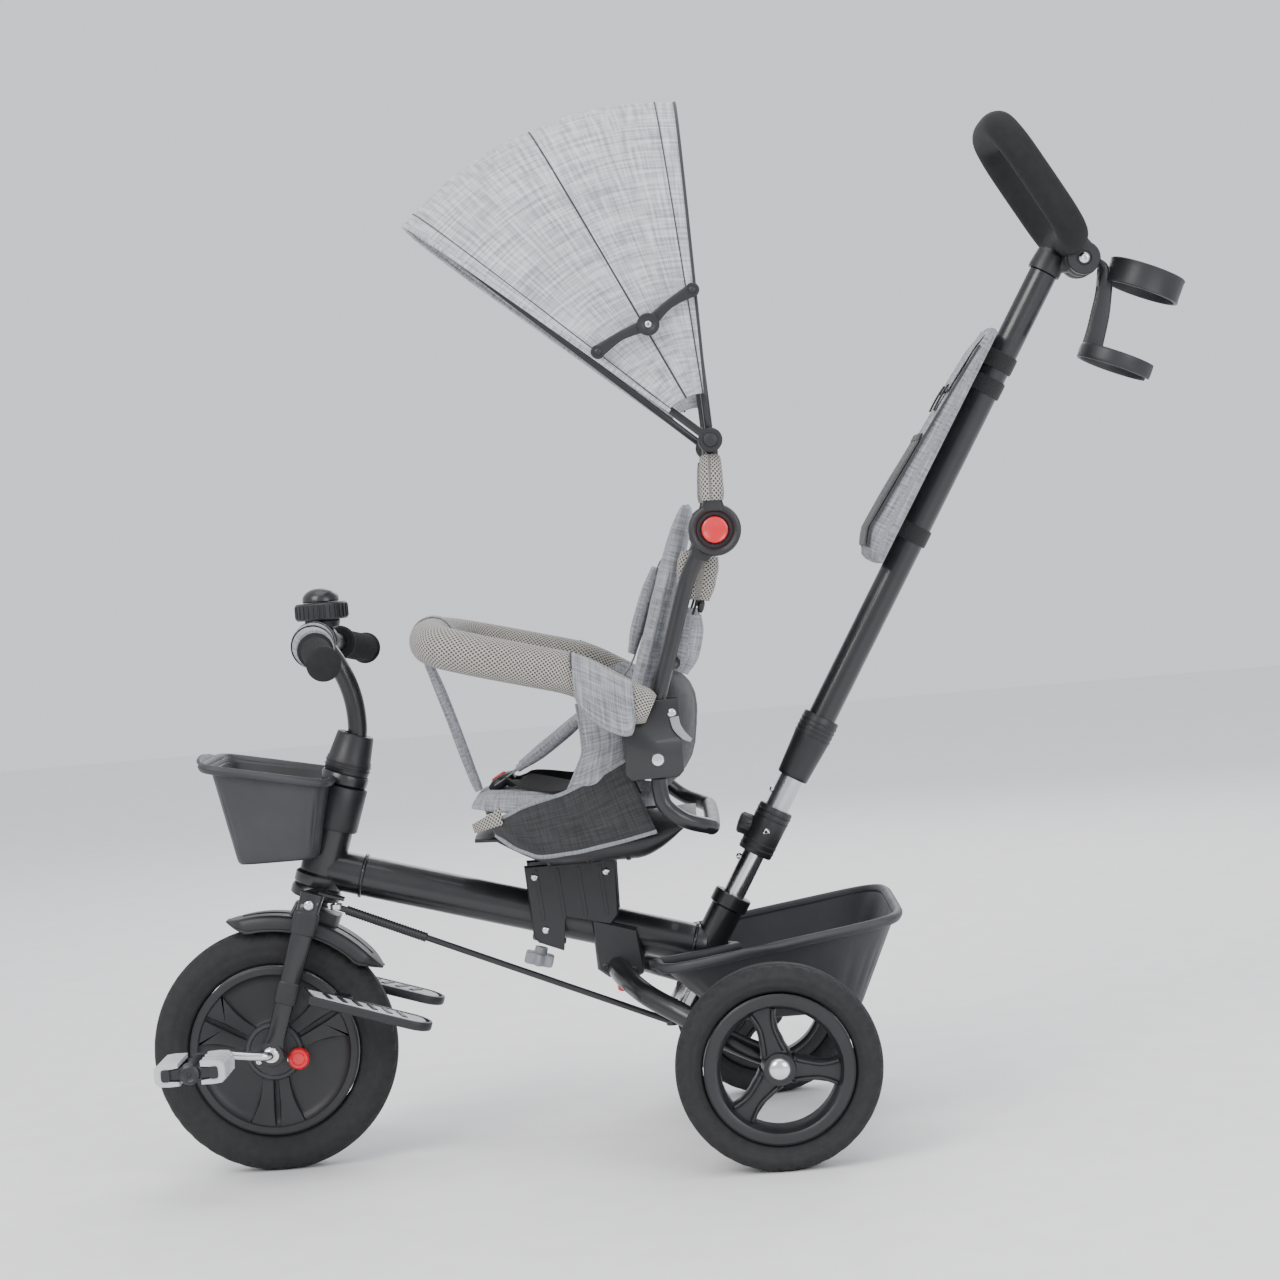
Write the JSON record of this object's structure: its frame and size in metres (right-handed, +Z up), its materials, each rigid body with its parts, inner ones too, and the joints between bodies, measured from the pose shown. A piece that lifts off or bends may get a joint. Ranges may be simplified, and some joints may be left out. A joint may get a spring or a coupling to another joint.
{
  "type": "children's tricycle",
  "caption": "Pedalled and pushed children's tricycle with steering parent handle, reclining seat, folding safety bar, tilting sun hood, bucket and basket.",
  "frame": {"origin": "middle of the tricycle's box, on the ground", "axes": "+Z up, +Y towards the tricycle's rear, +X towards the child's left"},
  "size_m": [0.456, 1.1308, 1.064],
  "materials": {
    "frame_black": "satin black powder coat",
    "steel": "bright plated steel",
    "plastic_black": "satin moulded plastic",
    "plastic_red": "smooth red plastic",
    "plastic_grey": "grey moulded plastic",
    "foam_black": "soft closed-cell foam",
    "tyre_black": "moulded rubber with fine ribs",
    "fabric_grey": "heather grey woven melange",
    "mesh_beige": "spacer mesh padding",
    "fabric_black": "coated black cloth with grey piping"
  },
  "bodies": {
    "frame": {"main_frame": "frame_black", "rear_fork": "frame_black", "rear_axle": "steel", "rear_joint_housing": "plastic_black", "front_bucket": "plastic_black", "rear_basket": "plastic_black"},
    "release_button": {"release_button": "plastic_red"},
    "steering": {"front_fork": "frame_black", "handlebar": "frame_black", "stem_cover": "plastic_black", "grip_left": "foam_black", "grip_right": "foam_black", "handlebar_pad": "fabric_grey", "bell": "plastic_black", "front_fender": "plastic_black"},
    "bell_ring": {"bell_ring": "plastic_black"},
    "footrest_left": {"footrest_left": "plastic_black"},
    "footrest_right": {"footrest_right": "plastic_black"},
    "front_wheel": {"front_tyre": "tyre_black", "front_rim": "plastic_black"},
    "clutch_knob": {"clutch_knob": "plastic_red"},
    "cranks": {"pedal_crank": "steel"},
    "pedal_left": {"pedal_left": "plastic_black"},
    "pedal_right": {"pedal_right": "plastic_black"},
    "steering_rod": {"steering_rod": "frame_black"},
    "rear_wheel_left": {"rear_tyre_left": "tyre_black", "rear_rim_left": "plastic_black"},
    "rear_wheel_right": {"rear_tyre_right": "tyre_black", "rear_rim_right": "plastic_black"},
    "brake_pedal": {"brake_pedal": "plastic_black"},
    "push_post": {"push_shaft": "steel", "push_bar_lower": "frame_black", "height_clamp": "plastic_black"},
    "push_upper": {"taper_sleeve": "plastic_black", "push_bar_upper": "frame_black", "handle_joint": "plastic_black", "cup_holder": "plastic_black", "organizer_bag": "fabric_grey"},
    "push_handle": {"push_handle": "foam_black"},
    "seat": {"seat_pedestal": "plastic_black", "seat_shell": "fabric_black", "seat_cushion": "fabric_grey", "seat_tube": "frame_black", "recline_bracket_left": "frame_black", "recline_bracket_right": "frame_black"},
    "seat_knob": {"seat_knob": "plastic_grey"},
    "backrest": {"backrest_frame": "frame_black", "backrest_cushion": "fabric_grey"},
    "safety_bar": {"safety_bar": "mesh_beige"},
    "canopy_strut": {"canopy_strut_left": "frame_black", "canopy_strut_right": "frame_black"},
    "tilt_button_left": {"tilt_button_left": "plastic_red"},
    "tilt_button_right": {"tilt_button_right": "plastic_red"},
    "canopy": {"rear_bow": "frame_black", "canopy_hood": "fabric_grey"},
    "hood_front": {"front_bow": "frame_black"},
    "stay_rear_left": {"stay_rear_left": "plastic_black"},
    "stay_rear_right": {"stay_rear_right": "plastic_black"},
    "stay_front_left": {"stay_front_left": "plastic_black"},
    "stay_front_right": {"stay_front_right": "plastic_black"}
  },
  "joints": [
    {"name": "steering_turn", "type": "hinge", "parent": "frame", "child": "steering", "pos_m": [0, -0.43946, 0.12591], "axis": [0, 0.3272, 0.9449], "range_deg": [-35, 35]},
    {"name": "front_wheel_spin", "type": "hinge", "parent": "steering", "child": "front_wheel", "pos_m": [0, -0.43946, 0.12591], "axis": [1, 0, 0], "continuous": true},
    {"name": "cranks_spin", "type": "hinge", "parent": "steering", "child": "cranks", "pos_m": [0, -0.43946, 0.12591], "axis": [1, 0, 0], "continuous": true},
    {"name": "pedal_left_spin", "type": "hinge", "parent": "cranks", "child": "pedal_left", "pos_m": [0.144, -0.50246, 0.13491], "axis": [1, 0, 0], "continuous": true},
    {"name": "pedal_right_spin", "type": "hinge", "parent": "cranks", "child": "pedal_right", "pos_m": [-0.144, -0.37646, 0.11691], "axis": [1, 0, 0], "continuous": true},
    {"name": "clutch_pull", "type": "slide", "parent": "front_wheel", "child": "clutch_knob", "axis": [1, 0, 0], "range_m": [0, 0.003]},
    {"name": "bell_ring_turn", "type": "hinge", "parent": "steering", "child": "bell_ring", "pos_m": [-0.055, -0.35946, 0.575], "axis": [0, 0, 1], "range_deg": [-60, 60], "stiffness_Nm_per_rad": 0.02},
    {"name": "footrest_left_fold", "type": "hinge", "parent": "steering", "child": "footrest_left", "pos_m": [0.062, -0.39946, 0.1973], "axis": [0, -0.9483, 0.3173], "range_deg": [0, 85]},
    {"name": "footrest_right_fold", "type": "hinge", "parent": "steering", "child": "footrest_right", "pos_m": [-0.062, -0.39946, 0.1973], "axis": [0, 0.9483, -0.3173], "range_deg": [0, 85]},
    {"name": "steering_rod_swing", "type": "hinge", "parent": "steering", "child": "steering_rod", "pos_m": [0.033, -0.36046, 0.272], "axis": [0, 0.3272, 0.9449], "range_deg": [-35, 35]},
    {"name": "rear_wheel_left_spin", "type": "hinge", "parent": "frame", "child": "rear_wheel_left", "pos_m": [0.205, 0.07754, 0.10073], "axis": [1, 0, 0], "continuous": true},
    {"name": "rear_wheel_right_spin", "type": "hinge", "parent": "frame", "child": "rear_wheel_right", "pos_m": [-0.205, 0.07754, 0.10073], "axis": [1, 0, 0], "continuous": true},
    {"name": "brake_pedal_press", "type": "hinge", "parent": "frame", "child": "brake_pedal", "pos_m": [-0.134, 0.07754, 0.10073], "axis": [-1, 0, 0], "range_deg": [0, 20]},
    {"name": "release_button_press", "type": "slide", "parent": "frame", "child": "release_button", "axis": [0, 0, 1], "range_m": [0, 0.003], "stiffness_N_per_m": 400},
    {"name": "push_bar_turn", "type": "hinge", "parent": "frame", "child": "push_post", "pos_m": [0, 0.02264, 0.2028], "axis": [0, 0.5165, 0.8563], "range_deg": [-21, 21]},
    {"name": "push_bar_height", "type": "slide", "parent": "push_post", "child": "push_upper", "axis": [0, 0.5165, 0.8563], "range_m": [0, 0.1]},
    {"name": "handle_tilt", "type": "hinge", "parent": "push_upper", "child": "push_handle", "pos_m": [0, 0.45954, 0.872], "axis": [1, 0, 0], "range_deg": [-60, 0]},
    {"name": "seat_slide", "type": "slide", "parent": "frame", "child": "seat", "axis": [0, 0.9593, -0.2823], "range_m": [-0.03, 0]},
    {"name": "seat_knob_turn", "type": "hinge", "parent": "seat", "child": "seat_knob", "pos_m": [0, -0.14446, 0.24261], "axis": [0, -0.2823, -0.9593], "range_deg": [-180, 180]},
    {"name": "backrest_recline", "type": "hinge", "parent": "seat", "child": "backrest", "pos_m": [0, -0.01586, 0.405], "axis": [1, 0, 0], "range_deg": [0, 12]},
    {"name": "safety_bar_lift", "type": "hinge", "parent": "seat", "child": "safety_bar", "pos_m": [0, -0.02946, 0.46], "axis": [1, 0, 0], "range_deg": [-50, 0]},
    {"name": "canopy_strut_tilt", "type": "hinge", "parent": "backrest", "child": "canopy_strut", "pos_m": [0, 0.05874, 0.627], "axis": [1, 0, 0], "range_deg": [-38, 0]},
    {"name": "tilt_button_left_press", "type": "slide", "parent": "canopy_strut", "child": "tilt_button_left", "axis": [-1, 0, 0], "range_m": [0, 0.0025], "stiffness_N_per_m": 400},
    {"name": "tilt_button_right_press", "type": "slide", "parent": "canopy_strut", "child": "tilt_button_right", "axis": [1, 0, 0], "range_m": [0, 0.0025], "stiffness_N_per_m": 400},
    {"name": "canopy_tilt", "type": "hinge", "parent": "canopy_strut", "child": "canopy", "pos_m": [0, 0.06154, 0.715], "axis": [1, 0, 0], "range_deg": [0, 27]},
    {"name": "hood_fold", "type": "hinge", "parent": "canopy", "child": "hood_front", "pos_m": [0, 0.06154, 0.715], "axis": [1, 0, 0], "range_deg": [-38, 0], "deforming": ["canopy_hood"]},
    {"name": "stay_rear_left_turn", "type": "hinge", "parent": "canopy", "child": "stay_rear_left", "pos_m": [0.189, 0.05594, 0.861], "axis": [1, 0, 0], "range_deg": [0, 48]},
    {"name": "stay_front_left_turn", "type": "hinge", "parent": "stay_rear_left", "child": "stay_front_left", "pos_m": [0.193, 0.01054, 0.831], "axis": [1, 0, 0], "range_deg": [-156, 0]},
    {"name": "stay_rear_right_turn", "type": "hinge", "parent": "canopy", "child": "stay_rear_right", "pos_m": [-0.189, 0.05594, 0.861], "axis": [1, 0, 0], "range_deg": [0, 48]},
    {"name": "stay_front_right_turn", "type": "hinge", "parent": "stay_rear_right", "child": "stay_front_right", "pos_m": [-0.193, 0.01054, 0.831], "axis": [1, 0, 0], "range_deg": [-156, 0]}
  ],
  "couplings": [
    {"joint": "cranks_spin", "follows": "front_wheel_spin", "ratio": 1},
    {"joint": "steering_rod_swing", "follows": "steering_turn", "ratio": -1},
    {"joint": "push_bar_turn", "follows": "steering_turn", "ratio": 0.6},
    {"joint": "stay_rear_left_turn", "follows": "hood_fold", "ratio": -1.24},
    {"joint": "stay_front_left_turn", "follows": "hood_fold", "ratio": 4.07},
    {"joint": "stay_rear_right_turn", "follows": "hood_fold", "ratio": -1.24},
    {"joint": "stay_front_right_turn", "follows": "hood_fold", "ratio": 4.07}
  ]
}
